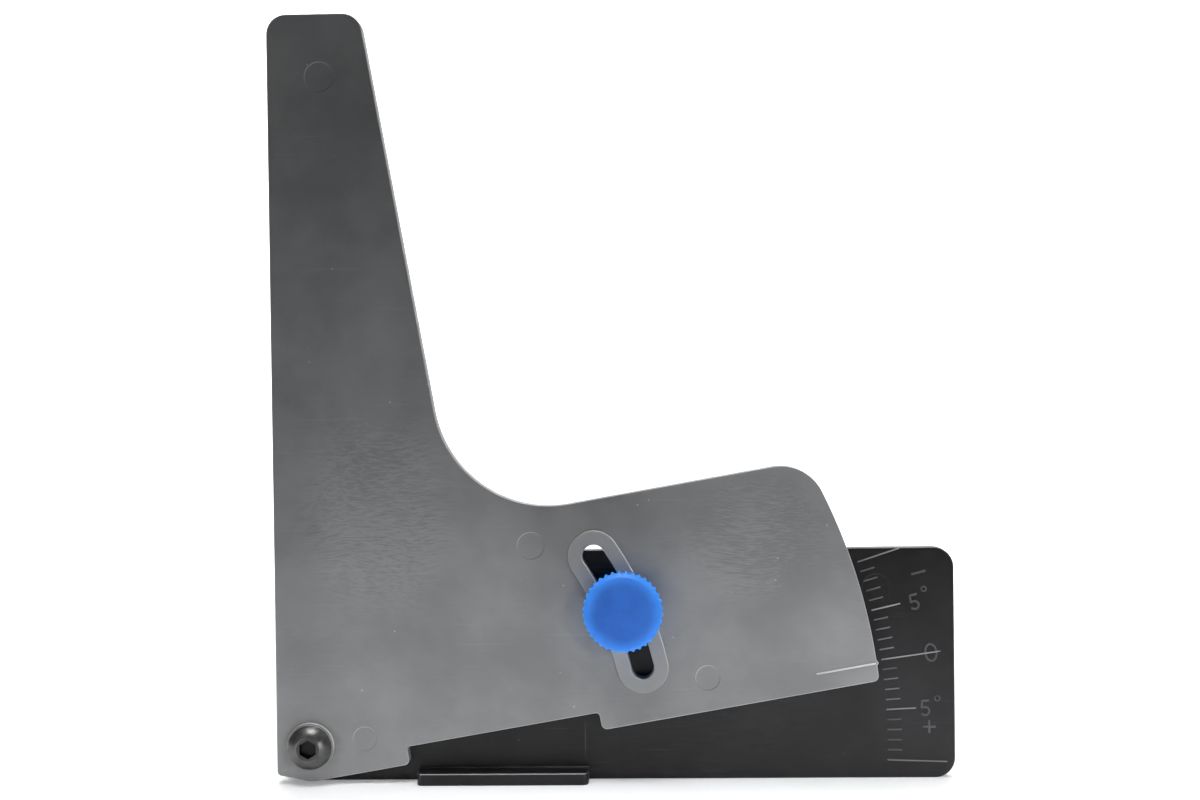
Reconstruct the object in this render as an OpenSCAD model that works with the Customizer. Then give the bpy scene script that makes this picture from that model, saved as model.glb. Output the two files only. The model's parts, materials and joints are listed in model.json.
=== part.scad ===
// Camber gauge: a moulded plate that stands on a table, with a pointer arm that pivots on it.
// The origin is on the table, straight below the pivot axis, in the middle of the plate's thickness.
// X runs along the plate, Z is up, and the scale and the knob face -Y.

/* [Plate] */
// Thickness of the standing plate
plate_t = 3.2; // [2.4:0.1:4]
// Plate left over beyond the longest scale line
plate_margin = 1.5; // [0.5:0.1:6]
// Radius of the plate's corners
plate_round = 4; // [1:0.5:6]

/* [Scale] */
// Angle of the zero line above the table, in degrees
zero_angle = 8; // [4:0.5:12]
// Degrees that the arm swings to each side, one line a degree
swing = 10; // [6:1:10]
// Gap between the arm's end and the scale lines
line_gap = 1.2; // [0.8:0.1:3]
// Length of a one-degree line
line_short = 3; // [2:0.1:4]
// Length of a five-degree line
line_mid = 6; // [4.5:0.1:7]
// Length of the zero line and of the two end lines
line_end = 12.1; // [11:0.1:15]
// Run of the upper end line before the plate's top edge cuts it
line_top_run = 9.2; // [6:0.1:11]
// Width of a scale line
line_w = 0.36; // [0.2:0.02:0.6]
// Height of a scale line above the plate
line_h = 0.25; // [0.1:0.05:0.5]

/* [Foot] */
// Distance from the pivot axis to the foot
foot_start = 21.6; // [18:0.2:30]
// Length of the foot
foot_len = 34.4; // [20:0.2:40]
// Reach of the foot on each side of the plate
foot_out = 5.5; // [4:0.1:12]
// Thickness of the foot
foot_h = 2.4; // [1.6:0.1:3.5]
// Radius of the foot's corners
foot_round = 1.2; // [0.5:0.1:3]
// Radius of the fillet between foot and plate
foot_fillet = 0.6; // [0.3:0.1:1.5]

/* [Arm] */
// Thickness of the arm
arm_t = 3.2; // [2.4:0.1:4]
// Height of the blade's top above the pivot axis
blade_h = 147.3; // [110:1:180]
// Width of the blade at its top
blade_top_w = 18.7; // [14:0.1:24]
// Angle of the blade's tapered edge, in degrees
blade_taper = 10; // [6:0.5:14]
// Radius of the blade's top corners
blade_round = 4; // [1:0.5:6]
// Lead of the contact edge over the plate's left end
edge_lead = 0.6; // [0.2:0.1:2]
// Drop of the contact edge below the pivot axis
heel_drop = 5.9; // [4:0.1:6.5]
// Radius of the heel corner
heel_round = 1; // [0.5:0.1:2]
// Radius from the pivot axis to the arm's free end
limb_reach = 115; // [100:1:140]
// Angle of the lower arm above the table, in degrees
limb_tilt = 9.8; // [9:0.1:12]
// Distance from the pivot axis to the lower arm's top edge
limb_h = 38.75; // [34:0.25:45]
// Radius of the free end's upper corner
end_round = 9.2; // [4:0.1:14]
// Radius of the free end's lower corner
toe_round = 1.2; // [0.5:0.1:3]
// Radius of the sweep between blade and lower arm
crotch_round = 23.2; // [10:0.2:30]
// Gap between the arm's rounded tip and the table
tip_gap = 0.5; // [0.4:0.1:1.5]
// Gap above the foot with the arm fully down
notch_rise = 1.7; // [0.8:0.1:3]
// Gap at each end of the foot with the arm fully down
notch_side = 2.5; // [1.5:0.1:4]
// Radius of the notch's inner corners
notch_round = 0.8; // [0.3:0.1:1.5]
// Radius of the notch's outer corners
notch_lip = 1.2; // [0.3:0.1:1.5]
// Length of the raised index line
index_len = 12; // [8:0.2:16]
// Gap between the index line and the free end
index_gap = 0.25; // [0.1:0.05:1]
// Width of the raised index line
index_w = 0.36; // [0.2:0.02:0.6]
// Height of the raised index line
index_h = 0.2; // [0.1:0.05:0.4]
// Reach of the pointer tooth beyond the free end
tooth_out = 0.4; // [0.2:0.05:0.7]
// Width of the pointer tooth at its root
tooth_w = 1.1; // [0.8:0.1:2]

/* [Slot] */
// Radius from the pivot axis to the clamp screw
clamp_radius = 68.9; // [60:0.1:75]
// Angle of the clamp screw above the table, in degrees
clamp_angle = 23.2; // [20:0.2:25]
// Clearance between clamp screw and slot, across the slot
slot_play = 0.4; // [0.2:0.05:0.8]
// Spare angle of the slot at each end, in degrees
slot_spare = 0.2; // [0.1:0.1:1]
// Width of the raised land on each side of the slot
land_w = 2.95; // [2:0.05:4]
// Height of the raised land
land_h = 0.5; // [0.2:0.1:1]

/* [Pivot screw and nut] */
// Diameter of the pivot screw
pivot_d = 4.8; // [4:0.1:5]
// Diameter of its button head
head_d = 9.1; // [8.6:0.1:10]
// Height of its button head
head_h = 2.7; // [2.2:0.1:3]
// Height of the head's straight rim
head_rim = 0.5; // [0.3:0.1:0.8]
// Diameter of the head's flat top
head_flat_d = 4.8; // [4.4:0.1:5.4]
// Size of the hexagon key socket across its flats
key_w = 3.2; // [2.5:0.1:3.5]
// Depth of the key socket
key_depth = 1.7; // [1:0.1:1.9]
// Width of the moulded ring outside the screw head
ring_side = 0.3; // [0.2:0.05:0.8]
// Height of the moulded ring
ring_h = 1; // [0.5:0.1:1.5]
// Size of the lock nut across its flats
nut_w = 9.5; // [9:0.1:10]
// Height of the lock nut with its collar
nut_h = 5.8; // [5:0.1:6.5]
// Height of the collar and of the ring in it
collar_h = 1.6; // [1.2:0.1:2]
// Wall of the collar
collar_wall = 0.9; // [0.6:0.1:1.2]
// Depth of the nut's pocket behind the plate
nut_pocket = 4; // [2.5:0.1:4.5]
// Wall outside the nut's corners
nut_wall = 0.8; // [0.6:0.1:2]
// Gap between the nut's boss and the table
boss_lift = 1.3; // [1:0.1:3]
// Length of screw that shows behind the nut
pivot_tip = 2.7; // [1:0.1:4]

/* [Clamp] */
// Diameter of the clamp screw
clamp_d = 4.1; // [3.5:0.1:4.5]
// Size of its hexagon head across the flats
hex_w = 6.35; // [6:0.05:7.5]
// Height of its hexagon head
hex_h = 2.4; // [2:0.1:3]
// Depth of the head below the boss's rim
hex_sink = 0.2; // [0.1:0.1:0.5]
// Height of the head's boss behind the plate
hex_boss_h = 2; // [1.5:0.1:3]
// Wall outside the head's corners
hex_wall = 1.7; // [1:0.1:3]
// Length of thread in the knob
thread_grip = 2.4; // [2:0.1:4]
// Diameter of the washer
washer_d = 9.5; // [8.5:0.1:10.2]
// Thickness of the washer
washer_t = 0.8; // [0.5:0.1:1.2]
// Clearance of the washer's hole
washer_play = 0.3; // [0.1:0.05:0.5]

/* [Knob] */
// Diameter of the knob
knob_d = 16; // [14:0.5:22]
// Number of serrations
knob_teeth = 36; // [24:2:48]
// Radius of the groove between two serrations
groove_r = 0.55; // [0.3:0.05:0.65]
// Depth of the groove
groove_depth = 0.4; // [0.2:0.05:0.5]
// Bevel round the knob's face
knob_bevel = 0.9; // [0.4:0.1:1.5]
// Thickness of the closed face in front of the insert
knob_face = 1.2; // [0.8:0.1:3]
// Diameter of the hub that bears on the washer
hub_d = 10; // [8:0.1:12]
// Height of the hub
hub_h = 0.4; // [0.3:0.1:1.5]
// Diameter of the threaded insert
insert_d = 6.4; // [5.5:0.1:7]
// Closed end of the insert
insert_end = 0.5; // [0.3:0.1:1]
// Gap between the clamp screw's tip and the insert's closed end
tip_play = 0.3; // [0.2:0.1:0.6]

/* [Hidden] */
$fn = 96;
over = 0.5; // overrun of every cut, and root of every raised line
running = 0.05; // radial clearance of a screw in its hole or thread
seated = 0.02; // radial gap of a moulded-in or pressed-in piece
pocket_play = 0.1; // gap between a hexagon and its pocket, each side
six = 6; // sides of a hexagon
turned = 30; // angle at which a hexagon's corners are turned off, in degrees
turned_in = 0.12; // inset of the round end face that this leaves, from the flats
arc_steps = 24; // steps of each arc of an outline drawn point by point

// The pivot and the plate's height follow the nut's boss, and the plate's length and top follow the scale.
nut_boss_r = hex_corner(nut_w / 2 + pocket_play) + nut_wall;
hex_boss_r = hex_corner(hex_w / 2 + pocket_play) + hex_wall;
pivot_z = nut_boss_r + boss_lift;
line_r = limb_reach + line_gap;
plate_right = line_r + line_end + plate_margin;
plate_top = (line_r + line_top_run) * sin(zero_angle + swing);
slot_w = clamp_d + slot_play;
edge_x = -nut_boss_r - edge_lead;
tip_r = pivot_z - tip_gap;

// The layers, from the back of the plate to the face of the knob
back_y = plate_t / 2;
front_y = -plate_t / 2;
arm_y = front_y - arm_t;
land_y = arm_y - land_h;
ring_y = arm_y - ring_h;
hub_y = land_y - washer_t;
knob_y = hub_y - hub_h;
seat_y = back_y + hex_boss_h - hex_sink - hex_h;
bore_depth = thread_grip + tip_play;
insert_len = bore_depth + insert_end;
knob_t = insert_len - hub_h + knob_face;
groove_turn = 360 / knob_teeth;

// A point at radius r and angle a
function at(r, a) = [r * cos(a), r * sin(a)];
// Distance from a hexagon's centre to its corner, from half its width across the flats
function hex_corner(half) = half / cos(180 / six);
// A point of the lower arm: s along it and d above its centre line, which passes through the pivot
function limb(s, d) = at(s, limb_tilt) + at(d, limb_tilt + 90);
// Distance along a line at offset d from the centre at which a circle of radius r is met
function chord(r, d) = sqrt(r * r - d * d);

// Stands an outline up: its second axis becomes Z, and it fills t towards -Y from y
module upright(y, t) translate([0, y, 0]) rotate([90, 0, 0]) linear_extrude(t) children();

// Stands an outline up in the same way, with the pivot axis as its origin
module at_pivot(y, t) translate([0, 0, pivot_z]) upright(y, t) children();

// Moves an outline to the clamp screw's axis
module at_clamp(y, t) at_pivot(y, t) translate(at(clamp_radius, clamp_angle)) children();

// A hexagon with two flats level, w across its flats
module hexagon(w) rotate(180 / six) circle(hex_corner(w / 2), $fn = six);

// A hexagon bar of length t, w across its flats, with the corners of its first end turned off
module turned_hexagon(w, t) {
    inner = w / 2 - turned_in;
    out = hex_corner(w / 2) + over;
    intersection() {
        linear_extrude(t) hexagon(w);
        rotate_extrude()
            polygon([
                [0, 0],
                [inner, 0],
                [out, (out - inner) * tan(turned)],
                [out, t + over],
                [0, t + over]
            ]);
    }
}

// Stands a solid on the pivot axis or on the clamp screw's axis, from y towards -Y
module on_pivot(y) translate([0, y, pivot_z]) rotate([90, 0, 0]) children();
module on_clamp(y) on_pivot(y) translate(at(clamp_radius, clamp_angle)) children();

// What lies between a corner and the circle that rounds it, whose normals run from angle a1 to a2,
// with an overrun past both edges of the corner
module corner(centre, r, a1, a2) {
    half = (a2 - a1) / 2;
    out = r + over;
    difference() {
        polygon([
            centre,
            centre + at(out, a1),
            centre + at(out / cos(half), a1 + half),
            centre + at(out, a2)
        ]);
        translate(centre) circle(r);
    }
}

// Points along an arc about a centre from angle a1 to a2, from the first step to the last
function arc(centre, r, a1, a2, first = 0, last = arc_steps) =
    [for (i = [first:last]) centre + at(r, a1 + (a2 - a1) * i / arc_steps)];

// A curved slot of width w about the pivot, between two angles
module arc_slot(r, a1, a2, w) {
    polygon(concat(
        arc([0, 0], r + w / 2, a1, a2),
        arc(at(r, a2), w / 2, a2, a2 + 180, 1, arc_steps - 1),
        arc([0, 0], r - w / 2, a2, a1),
        arc(at(r, a1), w / 2, a1 + 180, a1 + 360, 1, arc_steps - 1)
    ));
}

// The plate seen from the front, its left side leaning back by the swing so that the arm always covers it
module plate_outline() {
    low = -pivot_z;
    r = plate_round;
    lean_x = (r + (plate_top - r) * sin(swing)) / cos(swing) - nut_boss_r;
    difference() {
        polygon([
            [-nut_boss_r, low],
            [-nut_boss_r, 0],
            [plate_top * tan(swing) - nut_boss_r, plate_top],
            [plate_right, plate_top],
            [plate_right, low]
        ]);
        corner([r - nut_boss_r, low + r], r, 180, 270);
        corner([lean_x, plate_top - r], r, 90, 180 - swing);
        corner([plate_right - r, plate_top - r], r, 0, 90);
        corner([plate_right - r, low + r], r, 270, 360);
    }
}

// Length of the scale line i degrees from zero
function line_len(i) =
    i == 0 || abs(i) == swing ? line_end
    : i % 5 == 0 ? line_mid
    : line_short;

// The scale: a line for each degree, cut off where it would leave the plate
module scale_lines() {
    intersection() {
        for (i = [-swing:swing])
            rotate(zero_angle + i) translate([line_r, -line_w / 2]) square([line_len(i), line_w]);
        plate_outline();
    }
}

// The foot seen from above
module foot_outline() {
    half = back_y + foot_out;
    r = foot_round;
    difference() {
        translate([foot_start, -half]) square([foot_len, 2 * half]);
        corner([foot_start + r, r - half], r, 180, 270);
        corner([foot_start + foot_len - r, r - half], r, 270, 360);
        corner([foot_start + foot_len - r, half - r], r, 0, 90);
        corner([foot_start + r, half - r], r, 90, 180);
    }
}

// The fillet along the foot, on the side of the plate that s gives
module foot_fillets(s) {
    translate([foot_start, s * back_y, foot_h])
        rotate([90, 0, 90])
            linear_extrude(foot_len)
                corner([s * foot_fillet, foot_fillet], foot_fillet, s < 0 ? 270 : 180, s < 0 ? 360 : 270);
}

module base_plate() {
    color([0.13, 0.13, 0.14])
    difference() {
        union() {
            at_pivot(back_y, plate_t) plate_outline();
            at_pivot(front_y + over, line_h + over) scale_lines();
            linear_extrude(foot_h) foot_outline();
            for (s = [-1, 1]) foot_fillets(s);
            at_pivot(back_y + nut_pocket, nut_pocket + over) circle(nut_boss_r);
            at_clamp(back_y + hex_boss_h, hex_boss_h + over) circle(hex_boss_r);
        }
        at_pivot(back_y + over, plate_t + 2 * over) circle(pivot_d / 2 + running);
        at_pivot(back_y + nut_pocket + over, nut_pocket + over) hexagon(nut_w + 2 * pocket_play);
        at_clamp(back_y + over, plate_t + 2 * over) circle(clamp_d / 2 + running);
        at_clamp(back_y + hex_boss_h + over, hex_sink + hex_h + over) hexagon(hex_w + 2 * pocket_play);
    }
}

// The arm seen from the front, about the pivot: arcs joined by straight edges, from the tip below the pivot
// along the lower edge to the pointer tooth, back to the blade and down the contact edge
module arm_outline() {
    // The notch that clears the foot lies square to the lower arm.
    low = -tip_r;
    high = foot_h + notch_rise - pivot_z;
    left = foot_start - notch_side;
    right = foot_start + foot_len + notch_side;
    inner = notch_round;
    lip = notch_lip;
    // The corners of the free end touch its arc from inside.
    toe_d = low + toe_round;
    toe_s = chord(limb_reach - toe_round, toe_d);
    toe_angle = limb_tilt + atan(toe_d / toe_s);
    end_d = limb_h - end_round;
    end_s = chord(limb_reach - end_round, end_d);
    end_angle = limb_tilt + atan(end_d / end_s);
    tooth_half = asin(tooth_w / (2 * limb_reach));
    // The shoulder's centre and the sweep's centre keep their radius from both of their edges.
    r = blade_round;
    shoulder = [edge_x + blade_top_w, blade_h];
    shoulder_x = shoulder.x - r * (1 - sin(blade_taper)) / cos(blade_taper);
    across = shoulder * at(1, blade_taper) + crotch_round;
    above = limb_h + crotch_round;
    skew = cos(blade_taper - limb_tilt);
    crotch = [
        (across * cos(limb_tilt) - above * sin(blade_taper)) / skew,
        (across * sin(limb_tilt) + above * cos(blade_taper)) / skew
    ];
    // The heel's lower edge touches the rounded tip at this angle.
    heel_angle = 180 + atan(heel_drop / -edge_x) + acos(tip_r / norm([edge_x, heel_drop]));
    heel_x = edge_x + heel_round;
    heel_z = (tip_r - heel_round - heel_x * cos(heel_angle)) / sin(heel_angle);
    polygon(concat(
        arc([0, 0], tip_r, heel_angle, limb_tilt + 270),
        arc(limb(left - lip, low + lip), lip, limb_tilt - 90, limb_tilt),
        arc(limb(left + inner, high - inner), inner, limb_tilt + 180, limb_tilt + 90),
        arc(limb(right - inner, high - inner), inner, limb_tilt + 90, limb_tilt),
        arc(limb(right + lip, low + lip), lip, limb_tilt - 180, limb_tilt - 90),
        arc(limb(toe_s, toe_d), toe_round, limb_tilt - 90, toe_angle),
        arc([0, 0], limb_reach, toe_angle, zero_angle - tooth_half, 1),
        [at(limb_reach + tooth_out, zero_angle)],
        arc([0, 0], limb_reach, zero_angle + tooth_half, end_angle, 0, arc_steps - 1),
        arc(limb(end_s, end_d), end_round, end_angle, limb_tilt + 90),
        arc(crotch, crotch_round, limb_tilt + 270, blade_taper + 180),
        arc([shoulder_x, blade_h - r], r, blade_taper, 90),
        arc([edge_x + r, blade_h - r], r, 90, 180),
        arc([heel_x, heel_z], heel_round, 180, heel_angle)
    ));
}

// The raised line that leads to the pointer tooth and runs along the lower arm
module index_line() {
    translate(at(limb_reach - index_gap, zero_angle))
        rotate(limb_tilt)
            translate([-index_len, -index_w / 2]) square([index_len, index_w]);
}

module arm() {
    low = clamp_angle - swing - slot_spare;
    high = clamp_angle + swing + slot_spare;
    color([0.42, 0.43, 0.44])
    difference() {
        union() {
            at_pivot(front_y, arm_t) arm_outline();
            at_pivot(arm_y + over, land_h + over) arc_slot(clamp_radius, low, high, slot_w + 2 * land_w);
            at_pivot(arm_y + over, ring_h + over) circle(head_d / 2 + ring_side);
            at_pivot(arm_y + over, index_h + over) index_line();
        }
        at_pivot(front_y + over, arm_t + ring_h + 2 * over) circle(pivot_d / 2 + running);
        at_pivot(front_y + over, arm_t + land_h + 2 * over) arc_slot(clamp_radius, low, high, slot_w);
    }
}

// The dome of the button head: a sphere that passes through the top of its rim and the edge of its flat
module button_head() {
    rim_r = head_d / 2;
    flat_r = head_flat_d / 2;
    sunk = (rim_r * rim_r - flat_r * flat_r + head_rim * head_rim - head_h * head_h) / (2 * (head_h - head_rim));
    intersection() {
        cylinder(head_h, r = rim_r);
        translate([0, 0, -sunk]) sphere(norm([rim_r, head_rim + sunk]));
    }
}

module pivot_screw() {
    reach = back_y + nut_h + pivot_tip - ring_y;
    color([0.09, 0.09, 0.1])
    difference() {
        union() {
            on_pivot(ring_y) button_head();
            at_pivot(ring_y + reach, reach + over) circle(pivot_d / 2);
        }
        at_pivot(ring_y - head_h + key_depth, key_depth + over) hexagon(key_w);
    }
}

module pivot_nut() {
    hex_part = nut_h - collar_h;
    color([0.7, 0.71, 0.73])
    difference() {
        union() {
            on_pivot(back_y + hex_part) turned_hexagon(nut_w, hex_part);
            at_pivot(back_y + nut_h, collar_h + over) circle(nut_w / 2 - seated);
        }
        at_pivot(back_y + nut_h + over, nut_h + 2 * over) circle(pivot_d / 2 + running);
        at_pivot(back_y + nut_h + over, collar_h + over) circle(nut_w / 2 - collar_wall);
    }
}

module pivot_nut_ring() {
    color([0.75, 0.75, 0.72])
    at_pivot(back_y + nut_h, collar_h)
        difference() {
            circle(nut_w / 2 - collar_wall - seated);
            circle(pivot_d / 2 + running);
        }
}

module clamp_screw() {
    reach = seat_y - hub_y + thread_grip;
    color([0.7, 0.71, 0.73]) {
        on_clamp(seat_y + hex_h) turned_hexagon(hex_w, hex_h);
        at_clamp(seat_y + over, reach + over) circle(clamp_d / 2);
    }
}

module clamp_washer() {
    color([0.75, 0.76, 0.78])
    at_clamp(land_y, washer_t)
        difference() {
            circle(washer_d / 2);
            circle((clamp_d + washer_play) / 2);
        }
}

// The knob seen from the front, with a groove between each two serrations
module knob_outline() {
    difference() {
        circle(knob_d / 2);
        for (i = [1:knob_teeth])
            rotate(i * groove_turn) translate([knob_d / 2 + groove_r - groove_depth, 0]) circle(groove_r);
    }
}

module knob() {
    rim = knob_d / 2;
    color([0.16, 0.38, 0.8])
    difference() {
        union() {
            intersection() {
                at_clamp(knob_y, knob_t) knob_outline();
                on_clamp(knob_y)
                    rotate_extrude()
                        polygon([
                            [0, -over],
                            [rim + over, -over],
                            [rim + over, knob_t - knob_bevel - over],
                            [rim - knob_bevel, knob_t],
                            [0, knob_t]
                        ]);
            }
            at_clamp(hub_y, hub_h + over) circle(hub_d / 2);
        }
        at_clamp(hub_y + over, insert_len + over) circle(insert_d / 2);
    }
}

module knob_insert() {
    color([0.78, 0.6, 0.3])
    difference() {
        at_clamp(hub_y, insert_len) circle(insert_d / 2 - seated);
        at_clamp(hub_y + over, bore_depth + over) circle(clamp_d / 2 + running);
    }
}

base_plate();
arm();
pivot_screw();
pivot_nut();
pivot_nut_ring();
clamp_screw();
clamp_washer();
knob();
knob_insert();
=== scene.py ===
import json
import math

import bmesh
import bpy
import numpy as np
from mathutils import Matrix


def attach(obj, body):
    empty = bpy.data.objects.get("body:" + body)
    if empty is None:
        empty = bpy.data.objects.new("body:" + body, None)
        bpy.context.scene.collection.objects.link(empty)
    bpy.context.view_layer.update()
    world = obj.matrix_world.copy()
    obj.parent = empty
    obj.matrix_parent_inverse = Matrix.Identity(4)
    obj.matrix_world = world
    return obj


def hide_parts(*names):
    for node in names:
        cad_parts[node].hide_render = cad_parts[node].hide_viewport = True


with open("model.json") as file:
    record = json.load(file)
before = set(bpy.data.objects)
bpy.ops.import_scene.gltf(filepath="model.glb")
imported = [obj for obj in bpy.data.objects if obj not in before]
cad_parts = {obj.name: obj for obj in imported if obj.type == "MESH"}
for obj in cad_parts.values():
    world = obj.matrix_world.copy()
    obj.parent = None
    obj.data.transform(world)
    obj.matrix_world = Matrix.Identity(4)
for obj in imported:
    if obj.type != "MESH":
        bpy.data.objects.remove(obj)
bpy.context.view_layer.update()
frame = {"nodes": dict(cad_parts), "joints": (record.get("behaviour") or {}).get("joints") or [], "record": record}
mm = 0.001
scene = bpy.context.scene
scene.view_settings.view_transform = "Standard"
pivotZ = frame["joints"][0]["pos_m"][2]
clampX, clampZ = (frame["joints"][2]["pos_m"][k] / mm for k in (0, 2))  # the knob's axis, in millimetres

viewpoint = {
    "place": (0.0704, -0.3448, 0.0825),  # metres, from the photograph's perspective
    "roll": -0.706, "pitch": 0.944, "yaw": -1.886,  # degrees
    "lens": 51.0, "sensor": 36.0,  # millimetres
    "nearest": 0.01, "farthest": 20,  # metres that the camera sees between
}


def makeCamera(values):
    # the view's rows are right, forward and up: a roll of a pitch of a yaw
    roll, pitch, yaw = (math.radians(values[key]) for key in ("roll", "pitch", "yaw"))
    rolled = np.array([[math.cos(roll), 0, math.sin(roll)], [0, 1, 0],
                       [-math.sin(roll), 0, math.cos(roll)]])
    pitched = np.array([[1, 0, 0], [0, math.cos(pitch), -math.sin(pitch)],
                        [0, math.sin(pitch), math.cos(pitch)]])
    yawed = np.array([[math.cos(yaw), -math.sin(yaw), 0], [math.sin(yaw), math.cos(yaw), 0],
                      [0, 0, 1]])
    right, forward, up = rolled @ pitched @ yawed
    data = bpy.data.cameras.new("camera")
    data.lens = values["lens"]
    data.sensor_width = values["sensor"]
    data.clip_start = values["nearest"]
    data.clip_end = values["farthest"]
    camera = bpy.data.objects.new("camera", data)
    scene.collection.objects.link(camera)
    camera.matrix_world = axesMatrix(right, up, -forward, values["place"])
    scene.camera = camera


def axesMatrix(x, y, z, place):
    # a pose whose columns are the three axes and the place
    pose = np.eye(4)
    pose[:3, :3] = np.stack([x, y, z], 1)
    pose[:3, 3] = place
    return Matrix(pose.tolist())


makeCamera(viewpoint)

studio = {
    "floorColour": (0.86, 0.87, 0.88),
    "worldColour": (0.9, 0.96, 1.08),
    "worldStrength": 0.006,
    "worldSeen": 0.9,  # how bright the surroundings look to the camera alone
    "floorSeen": 0.23,  # what the camera alone sees added to the floor near the gauge
    "farSeen": 0.75,  # and what it sees added far from it
    "floorReach": (0.16, 0.45),  # metres from near to far
    # metres: half the floor's width, its front edge, where it starts to rise, the rise's radius, its height
    "floorSize": {"half": 4.0, "front": -4.0, "bend": 0.6, "radius": 0.5, "top": 2.0, "steps": 24},
    "floorRoughness": 0.7,
    # place and target in metres, width, height, power in watts, spread in degrees
    "lights": {
        "top": ((0.07, 0.16, 0.62), (0.07, 0.1, 0.0), 0.5, 0.34, 0.3, 80),
        "wash": ((0.07, 0.5, 0.5), (0.07, 0.2, 0.0), 1.4, 0.3, 1.5, 60),
        "pool": ((0.08, -0.085, 0.3), (0.08, -0.075, 0.0), 0.3, 0.08, 0.155, 50),
        "lowRight": ((0.45, -0.4, 0.1), (0.08, 0.0, 0.0), 0.24, 0.08, 0.022, 16),
        "lowLeft": ((-0.3, -0.4, 0.06), (0.1, 0.0, 0.0), 0.24, 0.08, 0.012, 16),
        "right": ((0.5, 0.0, 0.42), (0.09, 0.0, 0.04), 0.3, 0.3, 0.06, 80),
        "back": ((0.07, 0.5, 0.8), (0.07, 1.0, 0.3), 1.6, 0.4, 12.0, 160),
    },
}


def makeLight(name, place, target, width, height, power, spread):
    # an area light at a place whose back axis points away from its target
    data = bpy.data.lights.new(name, "AREA")
    data.shape = "RECTANGLE"
    data.size = width
    data.size_y = height
    data.energy = power
    data.spread = math.radians(spread)
    light = bpy.data.objects.new(name, data)
    scene.collection.objects.link(light)
    forward = np.subtract(target, place)
    forward = forward / np.linalg.norm(forward)
    side = np.cross(forward, (0, 0, 1))
    side = side / np.linalg.norm(side)
    light.matrix_world = axesMatrix(side, np.cross(side, forward), -forward, place)
    light.visible_camera = False


for lightName, settings in studio["lights"].items():
    makeLight(lightName, *settings)


def link(name, mesh, material=None):
    # an object with its mesh and material, left at the origin
    piece = bpy.data.objects.new(name, mesh)
    scene.collection.objects.link(piece)
    if material:
        mesh.materials.append(material)
    return piece


def meshFrom(name, points, faces):
    # a smoothly shaded mesh of points in metres and faces that list them
    mesh = bpy.data.meshes.new(name)
    mesh.from_pydata(np.asarray(points, float).reshape(-1, 3).tolist(), [], faces)
    mesh.shade_smooth()
    return mesh


def gridFaces(rows, cols, closeRows=False, closeCols=False):
    # the four corners of each cell of a grid; its last row or column meets its first where it closes
    r, c = np.meshgrid(np.arange(rows - (not closeRows)), np.arange(cols - (not closeCols)),
                       indexing="ij")
    rNext, cNext = (r + 1) % rows, (c + 1) % cols
    corners = [r * cols + c, r * cols + cNext, rNext * cols + cNext, rNext * cols + c]
    return np.stack(corners, -1).reshape(-1, 4).tolist()


def faceOutwards(mesh):
    # points closer than a ten-thousandth of a millimetre merge, and all faces turn outwards
    bm = bmesh.new()
    bm.from_mesh(mesh)
    bmesh.ops.remove_doubles(bm, verts=bm.verts, dist=1e-7)
    bmesh.ops.recalc_face_normals(bm, faces=bm.faces)
    bm.to_mesh(mesh)
    bm.free()


def group(name, inputs, outputs):
    # an empty node group with named sockets, its input node and its output node
    tree = bpy.data.node_groups.new(name, "ShaderNodeTree")
    for label, kind, value in inputs:
        socket = tree.interface.new_socket(name=label, in_out="INPUT", socket_type=kind)
        if value is not None:
            socket.default_value = value
    for label, kind in outputs:
        tree.interface.new_socket(name=label, in_out="OUTPUT", socket_type=kind)
    return tree, tree.nodes.new("NodeGroupInput"), tree.nodes.new("NodeGroupOutput")


def node(tree, kind, settings=None, **values):
    # a node with its settings, and with values for the inputs of those names
    made = tree.nodes.new(kind)
    for key, value in (settings or {}).items():
        setattr(made, key, value)
    for key, value in values.items():
        made.inputs[key].default_value = value
    return made


def join(tree, *pairs):
    # a link from the first to the second of each pair of sockets
    for source, target in pairs:
        tree.links.new(source, target)


def mapRange(tree, source, low, high, toLow=0.0, toHigh=1.0):
    # a smooth step of the source from low to high, spread over toLow to toHigh
    ends = {"From Min": low, "From Max": high, "To Min": toLow, "To Max": toHigh}
    made = node(tree, "ShaderNodeMapRange", {"interpolation_type": "SMOOTHSTEP"}, **ends)
    join(tree, (source, made.inputs["Value"]))
    return made.outputs["Result"]


def maths(tree, operation, first, second):
    # an operation on two numbers or sockets
    made = node(tree, "ShaderNodeMath", {"operation": operation})
    for k, value in enumerate((first, second)):
        if isinstance(value, (int, float)):
            made.inputs[k].default_value = value
        else:
            join(tree, (value, made.inputs[k]))
    return made.outputs[0]


def seenByCamera(tree, other, camera):
    # one strength for camera rays and another for all the rest
    path = tree.nodes.new("ShaderNodeLightPath")
    mix = tree.nodes.new("ShaderNodeMix")
    mix.inputs[2].default_value = other
    if isinstance(camera, float):
        mix.inputs[3].default_value = camera
    else:
        join(tree, (camera, mix.inputs[3]))
    join(tree, (path.outputs["Is Camera Ray"], mix.inputs[0]))
    return mix.outputs[0]


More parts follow.
